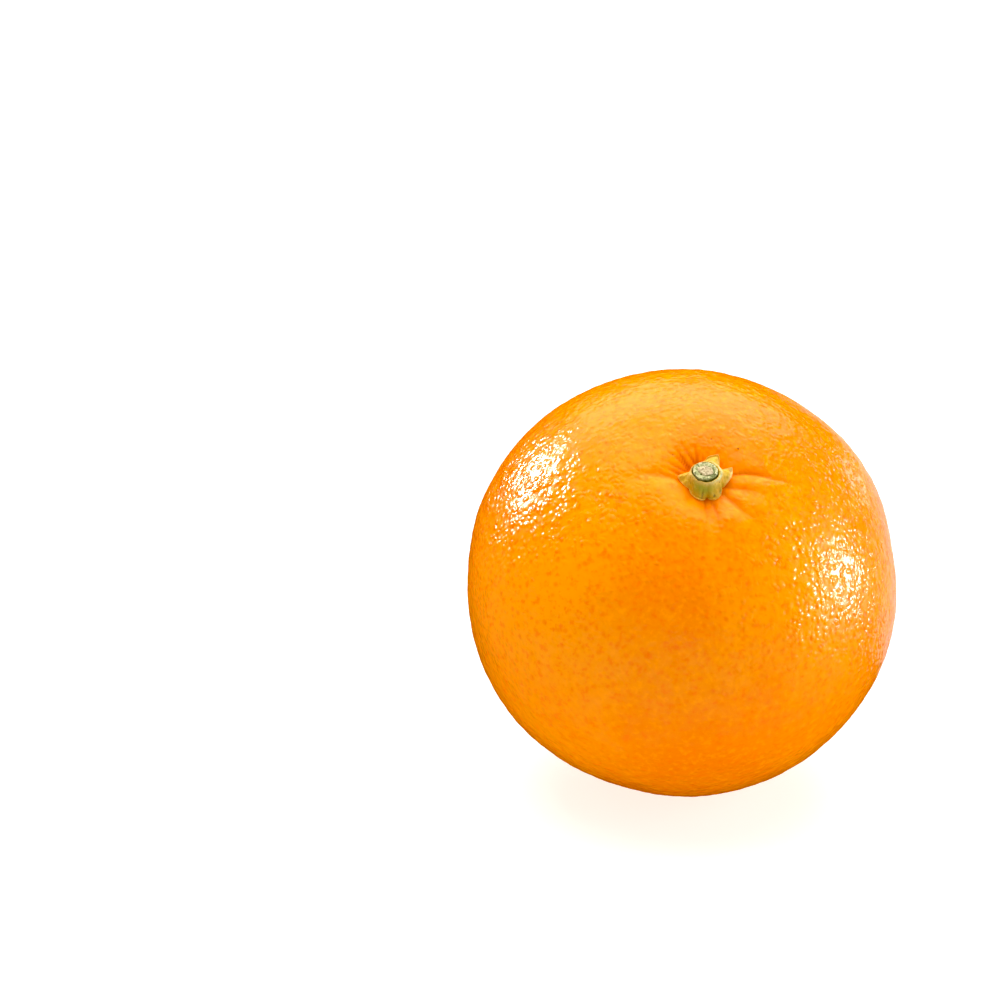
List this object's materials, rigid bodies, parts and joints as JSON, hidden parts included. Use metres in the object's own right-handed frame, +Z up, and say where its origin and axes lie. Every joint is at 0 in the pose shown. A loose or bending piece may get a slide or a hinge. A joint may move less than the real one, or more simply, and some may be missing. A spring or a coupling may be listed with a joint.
{
  "type": "orange",
  "caption": "Whole ripe orange with its green calyx and a cut stem end, tipped forward on a small flat spot. A fruit to eat, squeeze or set out.",
  "frame": {"origin": "centre of the bounding box's bottom face, in the plane of the small flat spot that the fruit rests on", "axes": "+Z up from the resting surface; the stem end is tipped 40 degrees from upright towards -Y, turned 11 degrees towards +X"},
  "size_m": [0.0804, 0.079, 0.0775],
  "materials": {
    "peel": "satin",
    "calyx_skin": "matte",
    "stem_wood": "matte"
  },
  "bodies": {
    "root": {"fruit": "peel", "calyx": "calyx_skin", "stem_stub": "stem_wood"}
  },
  "joints": []
}
